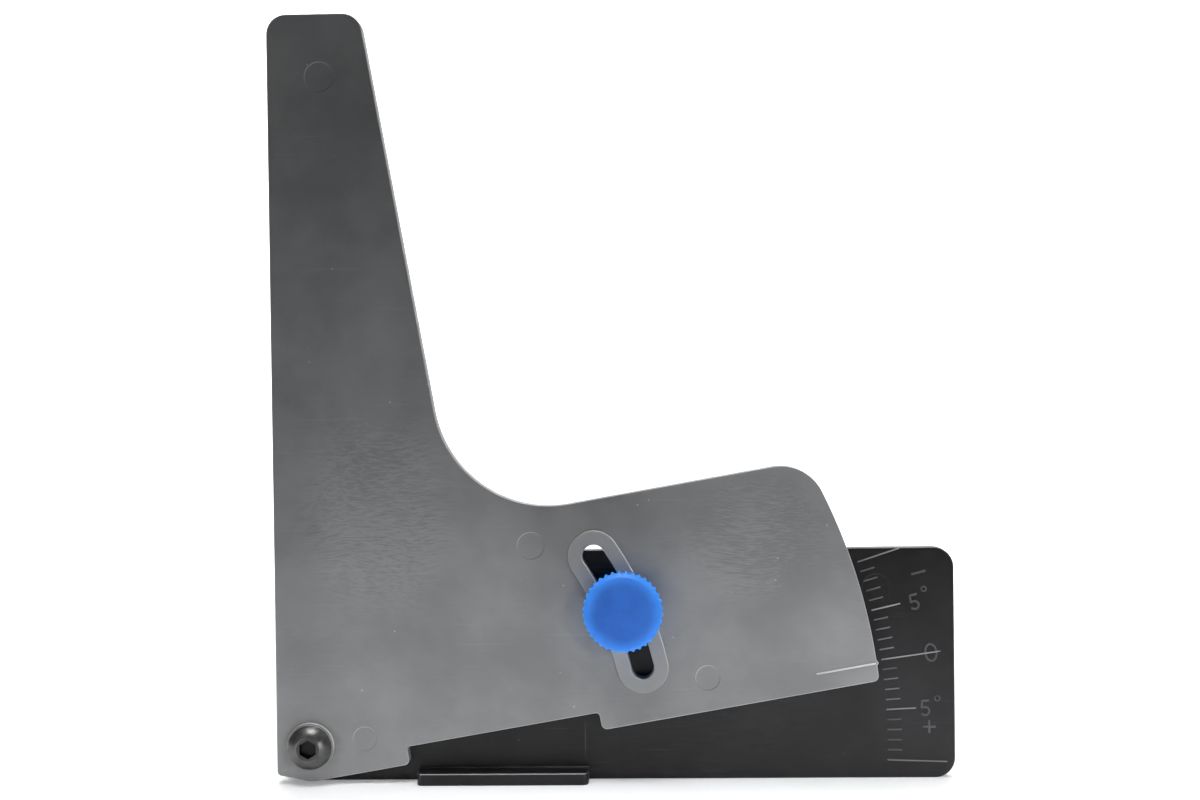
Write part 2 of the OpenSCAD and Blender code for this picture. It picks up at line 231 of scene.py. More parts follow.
def makeFloor():
    # a flat sheet that sweeps up behind: y and z follow a quarter circle of the given radius
    size = studio["floorSize"]
    radius = size["radius"]
    angle = np.linspace(0, math.pi / 2, size["steps"])
    y = np.concatenate([[size["front"]], size["bend"] + radius * np.sin(angle), [size["bend"] + radius]])
    z = np.concatenate([[0], radius * (1 - np.cos(angle)), [size["top"]]])
    x = np.broadcast_to([-size["half"], size["half"]], (len(y), 2))
    points = np.stack([x, np.stack([y, y], 1), np.stack([z, z], 1)], -1)
    floor = link("floor", meshFrom("floor", points, gridFaces(len(y), 2)))
    material = bpy.data.materials.new("floorPaper")
    material.use_nodes = True
    tree = material.node_tree
    shader = tree.nodes["Principled BSDF"]
    shader.inputs["Base Color"].default_value = (*studio["floorColour"], 1)
    shader.inputs["Roughness"].default_value = studio["floorRoughness"]
    shader.inputs["Emission Color"].default_value = (1, 1, 1, 1)
    coordinate = node(tree, "ShaderNodeTexCoord")
    distance = node(tree, "ShaderNodeVectorMath", {"operation": "LENGTH"})
    join(tree, (coordinate.outputs["Object"], distance.inputs[0]))
    seen = mapRange(tree, distance.outputs["Value"], *studio["floorReach"],
                    studio["floorSeen"], studio["farSeen"])
    join(tree, (seenByCamera(tree, 0.0, seen), shader.inputs["Emission Strength"]))
    floor.data.materials.append(material)


def makeWorld():
    # surroundings of one colour, brighter to the camera than to the gauge
    world = bpy.data.worlds.new("studio")
    world.use_nodes = True
    tree = world.node_tree
    background = tree.nodes["Background"]
    background.inputs["Color"].default_value = (*studio["worldColour"], 1)
    strength = seenByCamera(tree, studio["worldStrength"], studio["worldSeen"])
    join(tree, (strength, background.inputs["Strength"]))
    scene.world = world


makeFloor()
makeWorld()
print("studio ready")

surfaceLook = {
    "bendScale": 28.0, "bendReach": 0.012,  # how finely and how far the streaks wander
    "streakTurn": 6, "streakStretch": 0.12,  # degrees, and the share of its scale along a streak
    "speckScale": 210.0, "speckSize": (0.05, 0.02), "speckShare": (0.56, 0.64),
    "scuffTurns": ((12, 0.0), (-31, 3.1), (64, 7.7)),  # degrees, and an offset for the noise
    "scuffStretch": 0.02, "scuffCrest": (0.66, 0.74), "patchScale": 45.0, "patchCrest": (0.5, 0.62),
    "zoneCore": 0.35,  # the share of its reach over which a zone is whole
}


def mouldedGroup():
    # colour clouds and drawn-out flow streaks of moulded plastic, its fine grain, and stray dust
    tree, given, out = group(
        "mouldedSurface",
        [("Vector", "NodeSocketVector", None), ("Cloud Scale", "NodeSocketFloat", 60.0),
         ("Streak Scale", "NodeSocketFloat", 700.0), ("Grain Scale", "NodeSocketFloat", 2600.0)],
        [("Clouds", "NodeSocketFloat"), ("Streaks", "NodeSocketFloat"), ("Grain", "NodeSocketFloat"),
         ("Specks", "NodeSocketFloat")])
    clouds = node(tree, "ShaderNodeTexNoise", Detail=3.0, Roughness=0.55)
    join(tree, (given.outputs["Vector"], clouds.inputs["Vector"]),
         (given.outputs["Cloud Scale"], clouds.inputs["Scale"]))
    bend = node(tree, "ShaderNodeTexNoise", Scale=surfaceLook["bendScale"], Detail=2.0)
    join(tree, (given.outputs["Vector"], bend.inputs["Vector"]))
    shift = node(tree, "ShaderNodeVectorMath", {"operation": "SCALE"}, Scale=surfaceLook["bendReach"])
    moved = node(tree, "ShaderNodeVectorMath", {"operation": "ADD"})
    drawn = node(tree, "ShaderNodeMapping", Rotation=(0, math.radians(surfaceLook["streakTurn"]), 0),
                 Scale=(surfaceLook["streakStretch"], 1, 1))
    streaks = node(tree, "ShaderNodeTexNoise", Detail=4.0, Roughness=0.6)
    join(tree, (bend.outputs["Color"], shift.inputs[0]), (shift.outputs[0], moved.inputs[1]),
         (given.outputs["Vector"], moved.inputs[0]), (moved.outputs[0], drawn.inputs["Vector"]),
         (drawn.outputs[0], streaks.inputs["Vector"]), (given.outputs["Streak Scale"], streaks.inputs["Scale"]))
    grain = node(tree, "ShaderNodeTexNoise", Detail=3.0, Roughness=0.6)
    join(tree, (given.outputs["Vector"], grain.inputs["Vector"]),
         (given.outputs["Grain Scale"], grain.inputs["Scale"]))
    cells = node(tree, "ShaderNodeTexVoronoi", Scale=surfaceLook["speckScale"])
    join(tree, (given.outputs["Vector"], cells.inputs["Vector"]))
    near = mapRange(tree, cells.outputs["Distance"], *surfaceLook["speckSize"])
    some = mapRange(tree, cells.outputs["Color"], *surfaceLook["speckShare"])
    specks = maths(tree, "MULTIPLY", near, some)
    join(tree, (clouds.outputs[0], out.inputs["Clouds"]), (streaks.outputs[0], out.inputs["Streaks"]),
         (grain.outputs[0], out.inputs["Grain"]), (specks, out.inputs["Specks"]))
    return tree


def scuffGroup():
    # thin scratches: noise drawn out along one direction, cut to its crests, in patches
    tree, given, out = group(
        "scuffMarks",
        [("Vector", "NodeSocketVector", None), ("Scale", "NodeSocketFloat", 2200.0),
         ("Seed", "NodeSocketFloat", 0.0)],
        [("Scuffs", "NodeSocketFloat")])
    masks = []
    for angle, offset in surfaceLook["scuffTurns"]:
        turned = node(tree, "ShaderNodeMapping", Rotation=(0, math.radians(angle), 0),
                      Scale=(surfaceLook["scuffStretch"], 1, 1))
        lines = node(tree, "ShaderNodeTexNoise", {"noise_dimensions": "4D"}, Detail=1.0)
        patches = node(tree, "ShaderNodeTexNoise", {"noise_dimensions": "4D"},
                       Scale=surfaceLook["patchScale"], Detail=1.0)
        seed = maths(tree, "ADD", given.outputs["Seed"], offset)
        join(tree, (given.outputs["Vector"], turned.inputs["Vector"]), (turned.outputs[0], lines.inputs["Vector"]),
             (given.outputs["Scale"], lines.inputs["Scale"]), (seed, lines.inputs["W"]),
             (given.outputs["Vector"], patches.inputs["Vector"]), (seed, patches.inputs["W"]))
        masks.append(maths(tree, "MULTIPLY", mapRange(tree, lines.outputs[0], *surfaceLook["scuffCrest"]),
                           mapRange(tree, patches.outputs[0], *surfaceLook["patchCrest"])))
    total = maths(tree, "MAXIMUM", maths(tree, "MAXIMUM", masks[0], masks[1]), masks[2])
    join(tree, (total, out.inputs["Scuffs"]))
    return tree


moulded, scuffed = mouldedGroup(), scuffGroup()


def mixColour(tree, factor, first, second):
    # two colours or colour sockets, mixed by a factor; 6 and 7 are the node's colour inputs
    made = node(tree, "ShaderNodeMix", {"data_type": "RGBA"})
    for k, value in ((6, first), (7, second)):
        if isinstance(value, tuple):
            made.inputs[k].default_value = (*value, 1)
        else:
            join(tree, (value, made.inputs[k]))
    join(tree, (factor, made.inputs[0]))
    return made.outputs[2]


def zoneGroup():
    # the distance from a centre in units of a reach, and a mask that fades to nothing at that reach
    tree, given, out = group(
        "flowZone", [("Vector", "NodeSocketVector", None), ("Centre", "NodeSocketVector", None),
                     ("Reach", "NodeSocketVector", (1, 1, 1))],
        [("Mask", "NodeSocketFloat"), ("Distance", "NodeSocketFloat")])
    offset = node(tree, "ShaderNodeVectorMath", {"operation": "SUBTRACT"})
    share = node(tree, "ShaderNodeVectorMath", {"operation": "DIVIDE"})
    length = node(tree, "ShaderNodeVectorMath", {"operation": "LENGTH"})
    join(tree, (given.outputs["Vector"], offset.inputs[0]), (given.outputs["Centre"], offset.inputs[1]),
         (offset.outputs[0], share.inputs[0]), (given.outputs["Reach"], share.inputs[1]),
         (share.outputs[0], length.inputs[0]))
    mask = mapRange(tree, length.outputs["Value"], 1.0, surfaceLook["zoneCore"])
    join(tree, (mask, out.inputs["Mask"]),
         (length.outputs["Value"], out.inputs["Distance"]))
    return tree


zoned = zoneGroup()
plasticLook = {
    "toneRange": (0.3, 0.7),  # the noise values that turn from the dark colour to the light one
    "streakRange": (0.25, 0.75),  # and those that turn from smooth to rough
    "proudEdge": (0.6, 0.3),  # millimetres past the proud face over which its tint fades in
    "proudRise": 0.7,  # the share of a proud face's height at which its tint is whole
    # the crease colour is the painted shade where the edge value is below zero
    "paintedShadeColour": (0.02, 0.02, 0.022), "scuffRough": 0.12, "bumpDistance": 0.0001,
}


def plastic(name, values):
    # clouds and streaks tint it, zones of painted light and painted shade and a real mould line lighten and darken
    # it, scuffs, painted edge and crest highlights and proud faces lighten it, grain and scuffs roughen it, and an
    # edge value below zero darkens it with painted shade, as in a crease
    material = bpy.data.materials.new(name)
    material.use_nodes = True
    tree = material.node_tree
    shader = tree.nodes["Principled BSDF"]
    coordinate = node(tree, "ShaderNodeTexCoord")
    surface = node(tree, "ShaderNodeGroup", {"node_tree": moulded})
    scuffs = node(tree, "ShaderNodeGroup", {"node_tree": scuffed})
    lightShadeAndWear = node(tree, "ShaderNodeAttribute", {"attribute_name": "edge"})
    for key in ("Cloud Scale", "Streak Scale", "Grain Scale"):
        surface.inputs[key].default_value = values[key]
    scuffs.inputs["Seed"].default_value = values["seed"]
    join(tree, (coordinate.outputs["Object"], surface.inputs["Vector"]),
         (coordinate.outputs["Object"], scuffs.inputs["Vector"]))

    def masked(centre, reach, output="Mask"):
        # a zone's mask or distance at this surface
        zone = node(tree, "ShaderNodeGroup", {"node_tree": zoned})
        zone.inputs["Centre"].default_value = centre
        zone.inputs["Reach"].default_value = reach
        join(tree, (coordinate.outputs["Object"], zone.inputs["Vector"]))
        return zone.outputs[output]

    flow = values["flow"]
    for centre, reach in values["zones"]:
        flow = maths(tree, "MAXIMUM", masked(centre, reach), flow)
    streaks = maths(tree, "MULTIPLY", maths(tree, "SUBTRACT", surface.outputs["Streaks"], 0.5), flow)
    tone = maths(tree, "ADD", surface.outputs["Clouds"], maths(tree, "MULTIPLY", streaks, values["streak"]))
    tone = mapRange(tree, tone, *plasticLook["toneRange"])
    colour = mixColour(tree, tone, values["dark"], values["light"])
    for centre, reach, amount in values["paintedLightAndTints"]:  # painted light above zero, painted shade below zero, and real tints such as the mould line
        tint = maths(tree, "MULTIPLY", masked(centre, reach), abs(amount))
        colour = mixColour(tree, tint, colour, values["mark"] if amount > 0 else (0.0, 0.0, 0.0))
    split = node(tree, "ShaderNodeSeparateXYZ")
    join(tree, (coordinate.outputs["Object"], split.inputs[0]))
    if "proud" in values:  # a face that stands proud between two depths is lighter
        near, far, amount = values["proud"]
        share = plasticLook["proudRise"]
        outer, inner = plasticLook["proudEdge"]
        rise = mapRange(tree, split.outputs["Y"], near * mm, (near * (1 - share) + far * share) * mm)
        within = mapRange(tree, split.outputs["Y"], (far - outer) * mm, (far - inner) * mm)
        proud = maths(tree, "MULTIPLY", maths(tree, "MULTIPLY", rise, within), amount)
        colour = mixColour(tree, proud, colour, values["mark"])
    marks = maths(tree, "MAXIMUM", maths(tree, "MULTIPLY", scuffs.outputs["Scuffs"], values["scuff"]),
                  maths(tree, "MULTIPLY", surface.outputs["Specks"], values["speck"]))
    colour = mixColour(tree, marks, colour, values["mark"])
    edgeLightAndWear = maths(tree, "MULTIPLY", lightShadeAndWear.outputs["Fac"], values["edge"])
    colour = mixColour(tree, edgeLightAndWear, colour, values["mark"])
    paintedShadeShare = mapRange(tree, maths(tree, "MULTIPLY", lightShadeAndWear.outputs["Fac"], -1.0), 0.0, 1.0)
    colour = mixColour(tree, paintedShadeShare, colour, plasticLook["paintedShadeColour"])
    join(tree, (colour, shader.inputs["Base Color"]))
    if "paintedGlow" in values:  # painted light: the rim glows, more and more from one radius to another
        (x, z), inner, outer, strength = values["paintedGlow"]
        through = mapRange(tree, masked((x * mm, 0, z * mm), (mm, 1, mm), "Distance"), inner, outer)
        join(tree, (mixColour(tree, through, (0, 0, 0), values["mark"]), shader.inputs["Emission Color"]))
        shader.inputs["Emission Strength"].default_value = strength
    dull = mapRange(tree, surface.outputs["Streaks"], *plasticLook["streakRange"], *values["rough"])
    scratchy = maths(tree, "MULTIPLY", scuffs.outputs["Scuffs"], plasticLook["scuffRough"])
    join(tree, (maths(tree, "ADD", dull, scratchy), shader.inputs["Roughness"]))
    shader.inputs["Specular IOR Level"].default_value = values["gloss"]
    height = maths(tree, "ADD", maths(tree, "MULTIPLY", surface.outputs["Grain"], values["grain"]),
                   maths(tree, "MULTIPLY", streaks, values["ripple"]))
    bump = node(tree, "ShaderNodeBump", Strength=values["bump"], Distance=plasticLook["bumpDistance"])
    join(tree, (height, bump.inputs["Height"]), (bump.outputs[0], shader.inputs["Normal"]))
    return material


armPlastic = plastic("armPlastic", {
    "dark": (0.222, 0.223, 0.226), "light": (0.292, 0.293, 0.297), "mark": (0.8, 0.8, 0.8),
    "Cloud Scale": 55.0, "Streak Scale": 3000.0, "Grain Scale": 2600.0, "seed": 1.3,
    # centre and reach in metres of the flow marks, at the blade's foot and in the lower arm's upper corner
    "zones": [((0.014, -0.005, 0.055), (0.02, 0.05, 0.026)), ((0.09, -0.005, 0.049), (0.018, 0.05, 0.016))],
    # centre, reach and amount of the painted shade, which is darker, and the painted light, which is lighter
    "paintedLightAndTints": [((-0.005, -0.005, 0.055), (0.012, 0.05, 0.04), -0.12),
              ((0.01, -0.005, 0.11), (0.05, 0.05, 0.06), -0.13),
              ((0.115, -0.005, 0.028), (0.03, 0.05, 0.02), 0.05),
              ((0.057, -0.005, 0.053), (0.024, 0.05, 0.015), -0.26),
              ((0.0128, -0.005, 0.084), (0.01, 0.05, 0.022), 0.07)],
    # "proud" gives two depths in millimetres and an amount
    "flow": 0.1, "streak": 1.6, "scuff": 0.05, "speck": 0.4, "edge": 1.0, "proud": (-4.9, -5.2, 0.12),
    "rough": (0.34, 0.44), "grain": 0.3, "ripple": 3.5, "bump": 0.35, "gloss": 0.5,
})
platePlastic = plastic("platePlastic", {
    "dark": (0.009, 0.0085, 0.0098), "light": (0.017, 0.016, 0.0178), "mark": (0.5, 0.5, 0.52),
    "Cloud Scale": 70.0, "Streak Scale": 1300.0, "Grain Scale": 3000.0, "seed": 4.1,
    "zones": [((0.075, -0.002, 0.01), (0.05, 0.05, 0.02))],
    # painted shade and painted light on the plate, and a real line left by the mould
    "paintedLightAndTints": [((0.115, -0.002, 0.047), (0.035, 0.05, 0.014), -0.3),
              ((0.106, -0.002, 0.011), (0.038, 0.05, 0.017), 0.011),
              ((0.04, -0.002, 0.005), (0.03, 0.05, 0.012), -0.4),
              ((0.0553, -0.0016, 0.008), (0.00014, 0.05, 0.0048), 0.08)],  # the last is a line left by the mould
    "flow": 0.2, "streak": 0.6, "scuff": 0.03, "speck": 0.08, "edge": 0.85, "proud": (-1.65, -1.85, 0.08),
    "rough": (0.32, 0.44), "grain": 0.3, "ripple": 1.6, "bump": 0.25, "gloss": 0.38,
})
knobPlastic = plastic("knobPlastic", {
    "dark": (0.026, 0.135, 0.56), "light": (0.034, 0.16, 0.64), "mark": (0.05, 0.36, 1.0),
    "paintedGlow": ((clampX, clampZ), 5.0, 8.0, 0.37),  # centre and radii in millimetres, and strength of the painted glow of the rim
    "Cloud Scale": 220.0, "Streak Scale": 1400.0, "Grain Scale": 3400.0, "seed": 8.2,
    "zones": [], "paintedLightAndTints": [], "flow": 0.4, "streak": 0.5, "scuff": 0.12, "speck": 0.1, "edge": 0.25,
    "rough": (0.42, 0.54), "grain": 0.4, "ripple": 0.6, "bump": 0.25, "gloss": 0.3,
})
ringNylon = plastic("ringNylon", {
    "dark": (0.62, 0.62, 0.58), "light": (0.74, 0.74, 0.7), "mark": (0.85, 0.85, 0.8),
    "Cloud Scale": 300.0, "Streak Scale": 1500.0, "Grain Scale": 3400.0, "seed": 2.2,
    "zones": [], "paintedLightAndTints": [], "flow": 0.4, "streak": 0.5, "scuff": 0.15, "speck": 0.1, "edge": 0.3,
    "rough": (0.4, 0.5), "grain": 0.4, "ripple": 0.5, "bump": 0.2, "gloss": 0.5,
})

metalLook = {
    "scuffScale": 5200.0, "toneRange": (0.35, 0.65), "roughRange": (0.3, 0.7),
    # the soil colour is for dirt and painted shade where the edge value is below zero
    "dirtAndShade": (0.012, 0.012, 0.012), "scuffRough": 0.1, "bumpDistance": 0.00005,
}


def metal(name, values):
    # tarnish clouds its colour and gloss; scuffs, worn edges and painted edge highlights are brighter, and an edge
    # value below zero darkens it with dirt and painted shade
    material = bpy.data.materials.new(name)
    material.use_nodes = True
    tree = material.node_tree
    shader = tree.nodes["Principled BSDF"]
    shader.inputs["Metallic"].default_value = values["metallic"]
    coordinate = node(tree, "ShaderNodeTexCoord")
    surface = node(tree, "ShaderNodeGroup", {"node_tree": moulded})
    scuffs = node(tree, "ShaderNodeGroup", {"node_tree": scuffed})
    lightShadeAndWear = node(tree, "ShaderNodeAttribute", {"attribute_name": "edge"})
    for key in ("Cloud Scale", "Streak Scale", "Grain Scale"):
        surface.inputs[key].default_value = values[key]
    scuffs.inputs["Seed"].default_value = values["seed"]
    scuffs.inputs["Scale"].default_value = metalLook["scuffScale"]
    join(tree, (coordinate.outputs["Object"], surface.inputs["Vector"]),
         (coordinate.outputs["Object"], scuffs.inputs["Vector"]))
    tone = mapRange(tree, surface.outputs["Clouds"], *metalLook["toneRange"])
    colour = mixColour(tree, tone, values["dark"], values["light"])
    marks = maths(tree, "MAXIMUM", maths(tree, "MULTIPLY", scuffs.outputs["Scuffs"], values["scuff"]),
                  maths(tree, "MULTIPLY", lightShadeAndWear.outputs["Fac"], values["edge"]))
    colour = mixColour(tree, marks, colour, values["mark"])
    dirtAndShade = mapRange(tree, maths(tree, "MULTIPLY", lightShadeAndWear.outputs["Fac"], -1.0), 0.0, 1.0)
    colour = mixColour(tree, dirtAndShade, colour, metalLook["dirtAndShade"])
    dull = mapRange(tree, surface.outputs["Clouds"], *metalLook["roughRange"], *values["rough"])
    rough = maths(tree, "ADD", dull, maths(tree, "MULTIPLY", scuffs.outputs["Scuffs"], metalLook["scuffRough"]))
    bump = node(tree, "ShaderNodeBump", Strength=values["bump"], Distance=metalLook["bumpDistance"])
    join(tree, (colour, shader.inputs["Base Color"]), (rough, shader.inputs["Roughness"]),
         (surface.outputs["Grain"], bump.inputs["Height"]), (bump.outputs[0], shader.inputs["Normal"]))
    return material


screwSteel = metal("screwSteel", {
    "dark": (0.1, 0.098, 0.096), "light": (0.15, 0.147, 0.143), "mark": (0.85, 0.84, 0.83), "metallic": 0.65,
    "Cloud Scale": 420.0, "Streak Scale": 1500.0, "Grain Scale": 6000.0, "seed": 5.0,
    "scuff": 0.25, "edge": 0.8, "rough": (0.28, 0.38), "bump": 0.2,
})
zincSteel = metal("zincSteel", {
    "dark": (0.5, 0.51, 0.54), "light": (0.68, 0.69, 0.71), "mark": (0.85, 0.86, 0.88), "metallic": 1.0,
    "Cloud Scale": 300.0, "Streak Scale": 1500.0, "Grain Scale": 5200.0, "seed": 6.4,
    "scuff": 0.4, "edge": 0.5, "rough": (0.26, 0.4), "bump": 0.25,
})
insertBrass = metal("insertBrass", {
    "dark": (0.6, 0.42, 0.18), "light": (0.76, 0.56, 0.27), "mark": (0.9, 0.74, 0.45), "metallic": 1.0,
    "Cloud Scale": 300.0, "Streak Scale": 1500.0, "Grain Scale": 5200.0, "seed": 7.9,
    "scuff": 0.4, "edge": 0.5, "rough": (0.26, 0.38), "bump": 0.2,
})
print("materials ready")

rounding = {
    "merge": 1e-6,  # metres between points that count as one
    "flat": 0.4, "smooth": 40,  # degrees below which faces merge, and below which an edge shades smoothly
    "segments": 3, "clampBelow": 0.2,  # narrower bevels, in millimetres, give way to their neighbours
}


def roundedCopy(nodeName, pieceName, material, widths, prepare=None, shade=None, sharp=34):
    # each outer edge sharper than an angle is bevelled by the first width whose test its middle passes
    bm = bmesh.new()
    bm.from_mesh(frame["nodes"][nodeName].data)
    bmesh.ops.remove_doubles(bm, verts=bm.verts, dist=rounding["merge"])
    if prepare:
        prepare(bm)
    bmesh.ops.dissolve_limit(bm, angle_limit=math.radians(rounding["flat"]), verts=bm.verts, edges=bm.edges)
    lightShadeAndWear = bm.faces.layers.int.new("lightShadeAndWear")
    for width in sorted({w for w, _ in widths}, reverse=True):
        chosen = [e for e in bm.edges
                  if e.is_manifold and e.is_convex and e.calc_face_angle() > math.radians(sharp)
                  and not any(f[lightShadeAndWear] for f in e.link_faces)
                  and next(w for w, test in widths if test((e.verts[0].co + e.verts[1].co) / 2 / mm)) == width]
        if width and chosen:
            made = bmesh.ops.bevel(bm, geom=chosen, offset=width * mm, offset_type="OFFSET", profile=0.5,
                                   segments=rounding["segments"], affect="EDGES", loop_slide=False,
                                   clamp_overlap=width < rounding["clampBelow"])
            for face in made["faces"]:
                face[lightShadeAndWear] = 1
    edgeLayer = bm.verts.layers.float.new("edge")
    bm.normal_update()
    for vertex in bm.verts:
        # a point wholly in bevel faces gets edge value 1, for painted edge highlights and edge wear; a shade
        # function may change it
        edgeLightAndWear = float(all(f[lightShadeAndWear] for f in vertex.link_faces))
        vertex[edgeLayer] = shade(vertex.co / mm, vertex.normal, edgeLightAndWear) if shade else edgeLightAndWear
    for edge in bm.edges:
        edge.smooth = not (edge.is_manifold and edge.calc_face_angle() > math.radians(rounding["smooth"]))
    mesh = bpy.data.meshes.new(pieceName)
    bm.to_mesh(mesh)
    bm.free()
    for polygon in mesh.polygons:
        polygon.use_smooth = True
    piece = link(pieceName, mesh, material)
    weighted = piece.modifiers.new("normals", "WEIGHTED_NORMAL")
    weighted.keep_sharp = True
    bodies = frame["record"]["behaviour"]["bodies"]
    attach(piece, next(body for body, nodes in bodies.items() if nodeName in nodes))
    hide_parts(nodeName)


faceY = {"arm": -4.8, "plate": -1.6}
limb = {
    "tilt": 9.8,  # degrees that the lower arm's centre line leans
    # the index line: how far below the centre line, half its width, its ends, and the depth of its foot
    "line": -3.6, "half": 0.4, "from": 101, "to": 115, "foot": -4.79,
    "land": -5.1, "ringEnd": 20,  # what is nearer the viewer, and farther along than the ring, is the land
    "lineCrest": -4.85, "proud": -4.9,  # depths past which a point is on the line's crest, or the land or ring
}


def anywhere(middle):
    # every edge passes
    return True


def onIndexLine(middle):
    # the index line leads from the free end along the lower arm
    along, across = limbPlace(middle.x, middle.z)
    return abs(across - limb["line"]) < limb["half"] and limb["from"] < along < limb["to"] \
        and middle.y < limb["foot"]


def onLand(middle):
    # the outline of the raised land round the arc slot
    return middle.y < limb["land"] and middle.x > limb["ringEnd"]


def limbPlace(x, z):
    # distances along and above the lower arm's centre line, which passes through the pivot
    tilt = math.radians(limb["tilt"])
    z = z - pivotZ / mm
    return x * math.cos(tilt) + z * math.sin(tilt), z * math.cos(tilt) - x * math.sin(tilt)


armHighlights = {  # painted highlights on the edges, from 0 to 1
    "line": 0.7, "land": (0.1, 0.9), "outline": (0.3, 0.3, 0.3),  # the least, and what facing the light adds
    "towards": (0.8, 0.6),  # the direction, in x and z, that the land's lit side faces
}


def armShade(place, normal, edgeLightAndWear):
    # painted highlights: the index line's crest is bright, the land and the ring most where they face up and
    # outwards, and the outline most along the underside and the free end
    if onIndexLine(place) and place.y < limb["lineCrest"]:
        return armHighlights["line"]
    (towardsX, towardsZ), (least, more) = armHighlights["towards"], armHighlights["land"]
    facing = max(towardsX * normal.x + towardsZ * normal.z, 0)
    dull, outer, lower = armHighlights["outline"]
    outline = dull + outer * max(normal.x, 0) + lower * max(-normal.z, 0)
    return edgeLightAndWear * (least + more * facing if place.y < limb["proud"] else outline)


foot = {
    # millimetres: the depth and height that hold the fillets' ends, and the height clear of the foot
    "filletDepth": (1.6, 2.25), "filletHeight": (2.3, 3.1), "clear": 3.02,
    "front": -6.9, "frontEdge": (2.24, 2.39),  # the depth of its front, and the heights of its edge with a painted highlight
    "outlineHighlight": 0.2,
}


def onFilletEnd(middle):
    # the curved ends of the fillets along the foot
    (near, far), (low, high) = foot["filletDepth"], foot["filletHeight"]
    return near < abs(middle.y) < far and low < middle.z < high


def cutLines(bm):
    # above the foot the plate's front is cleared of the scale's plain lines, which come back as ridges
    verts = [v for v in bm.verts if v.co.z > foot["clear"] * mm]
    above = set(verts)
    others = [g for g in bm.edges[:] + bm.faces[:] if all(v in above for v in g.verts)]
    bmesh.ops.bisect_plane(bm, geom=verts + others, dist=1e-7, plane_co=(0, faceY["plate"] * mm, 0),
                           plane_no=(0, -1, 0), clear_outer=True)
    bmesh.ops.holes_fill(bm, edges=[e for e in bm.edges if e.is_boundary])
    bmesh.ops.remove_doubles(bm, verts=bm.verts, dist=rounding["merge"])


def plateShade(place, normal, edgeLightAndWear):
    # painted highlights: a faint one on the outline, a bright one on the foot's front edge
    low, high = foot["frontEdge"]
    return 1.0 if place.y < foot["front"] and low < place.z < high else edgeLightAndWear * foot["outlineHighlight"]


# each copy has its bevel widths in millimetres, and the test for the edges that each of them suits
roundedCopy("arm", "pointerArm", armPlastic, [(0.05, onIndexLine), (0.3, onLand), (0.22, anywhere)], shade=armShade)
roundedCopy("base_plate", "standingPlate", platePlastic,
            [(0.0, onFilletEnd), (0.2, anywhere)], cutLines, plateShade)


screwHead = {  # millimetres
    "darkened": 2.3, "socket": 1.95, "rim": 4.2,  # radii within which the dome is darkened by dirt and painted shade, and the socket darker
    "shankTop": -4, "top": -8.45, "rimBack": -5.4,  # depths of the shank, of the dome's top and of the rim
    # edge values: the socket's dirt and painted shade below zero, the rim's painted highlight and the rest above
    "dark": -1.0, "dull": -0.5, "rimHighlight": 1.0, "otherHighlight": 0.05,
}
threadTip = {  # millimetres
    "from": 7.2, "to": 10.1, "crest": 2.39, "root": 2.0, "pitch": 0.8,
    "overlap": 0.3, "tipInset": 0.15,  # how far it starts inside the shank, and the cone's start below the root
    # the last value sets how much lighter the thread's crests are
    "flank": 1.5, "flatShare": 0.25, "rows": 66, "columns": 48, "crestLight": 0.6,
}
knobRim = {"from": 7.1, "width": 0.7}  # millimetres


def screwShade(place, normal, edgeLightAndWear):
    # the head's rim gets a painted highlight; the key socket and its edge are darker, partly dirt and partly
    # painted shade in the recess, which counts below zero
    radius = math.hypot(place.x, place.z - pivotZ / mm)
    if radius < screwHead["darkened"] and place.y < screwHead["shankTop"]:
        inside = radius < screwHead["socket"] and place.y > screwHead["top"]
        return screwHead["dark"] if inside else screwHead["dull"]
    return edgeLightAndWear * (screwHead["rimHighlight"] if radius > screwHead["rim"] else screwHead["otherHighlight"])


def onHeadRim(middle):
    # the edges of the head's rim
    return math.hypot(middle.x, middle.z - pivotZ / mm) > screwHead["rim"] and middle.y < screwHead["rimBack"]


def rimShade(place, normal, edgeLightAndWear):
    # painted highlight: the knob's rim is lighter than its face: it grows from 0 to 1 across the bevel
    radius = math.hypot(place.x - clampX, place.z - clampZ)
    return min(max((radius - knobRim["from"]) / knobRim["width"], 0), 1)


def cutShank(bm):
    # the screw ends inside its nut, and the threaded tip below takes over from there
    cut = bmesh.ops.bisect_plane(bm, geom=bm.verts[:] + bm.edges[:] + bm.faces[:],
                                 plane_co=(0, threadTip["from"] * mm, 0), plane_no=(0, 1, 0), clear_outer=True)
    bmesh.ops.holes_fill(bm, edges=[e for e in cut["geom_cut"] if isinstance(e, bmesh.types.BMEdge)])


roundedCopy("knob", "clampKnob", knobPlastic, [(0.12, anywhere)], shade=rimShade)
roundedCopy("pivot_screw", "pivotScrew", screwSteel, [(0.18, onHeadRim), (0.1, anywhere)],
            cutShank, screwShade, sharp=20)
roundedCopy("pivot_nut", "pivotNut", zincSteel, [(0.15, anywhere)])
roundedCopy("pivot_nut_ring", "nutRing", ringNylon, [(0.1, anywhere)])
roundedCopy("clamp_screw", "clampScrew", zincSteel, [(0.12, anywhere)])
roundedCopy("clamp_washer", "clampWasher", zincSteel, [(0.1, anywhere)])
roundedCopy("knob_insert", "knobInsert", insertBrass, [(0.1, anywhere)])
print("bevelled copies ready")


def finish(name, points, faces, material, body, lightShadeAndWear=None):
    # a closed piece on its body and slot, with the painted light and shade of each of its points
    mesh = meshFrom(name, points, faces)
    faceOutwards(mesh)
    if lightShadeAndWear is not None and len(lightShadeAndWear) == len(mesh.vertices):
        mesh.attributes.new("edge", "FLOAT", "POINT").data.foreach_set("value", np.asarray(lightShadeAndWear, np.float32))
    piece = link(name, mesh, material)
    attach(piece, body)


ridgeSides = 10  # points round a ridge
roundEnd = (1.0, 0.92, 0.7, 0.38)  # where the rings of a ridge's rounded end lie, as shares of its half width


